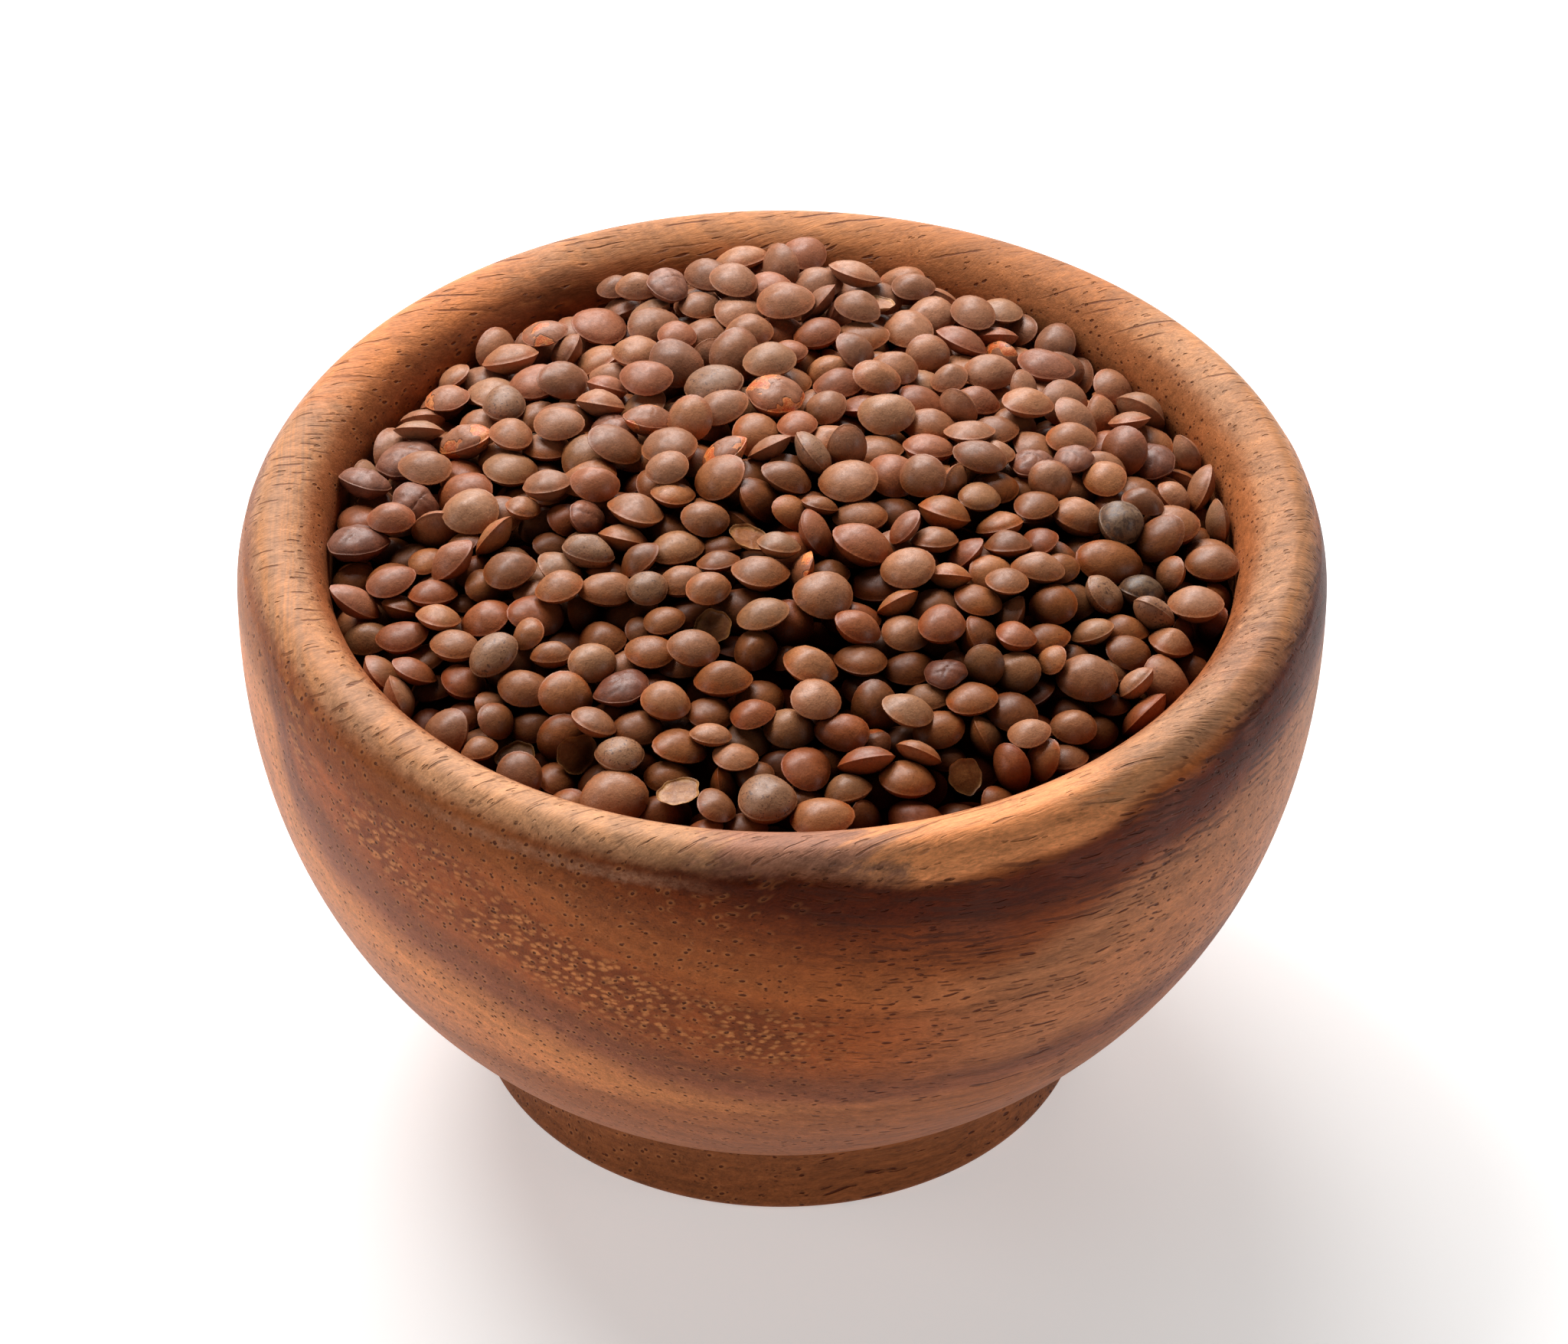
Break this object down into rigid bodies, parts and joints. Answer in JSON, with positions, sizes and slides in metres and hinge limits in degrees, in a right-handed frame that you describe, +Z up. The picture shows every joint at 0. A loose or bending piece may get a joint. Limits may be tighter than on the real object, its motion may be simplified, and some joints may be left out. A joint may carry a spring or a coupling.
{
  "type": "bowl of dry lentils",
  "caption": "Small turned wooden bowl on a low foot, filled with a domed heap of dry brown lentils.",
  "frame": {"origin": "centre of the flat underside of the bowl's foot", "axes": "+Z up along the axis the bowl was turned on, and the picture's camera looks along +Y from above"},
  "size_m": [0.1, 0.1, 0.0628],
  "materials": {
    "turned_wood": "oiled acacia-like wood, satin, honey tan at the lip to dark red-brown with purplish bands on the body",
    "lentil_skin": "dry lentil skins, dull satin, taupe brown with redder rims; a few khaki, grey-black and chipped orange ones"
  },
  "bodies": {
    "root": {"bowl": "turned_wood", "lentils": "lentil_skin"}
  },
  "joints": []
}
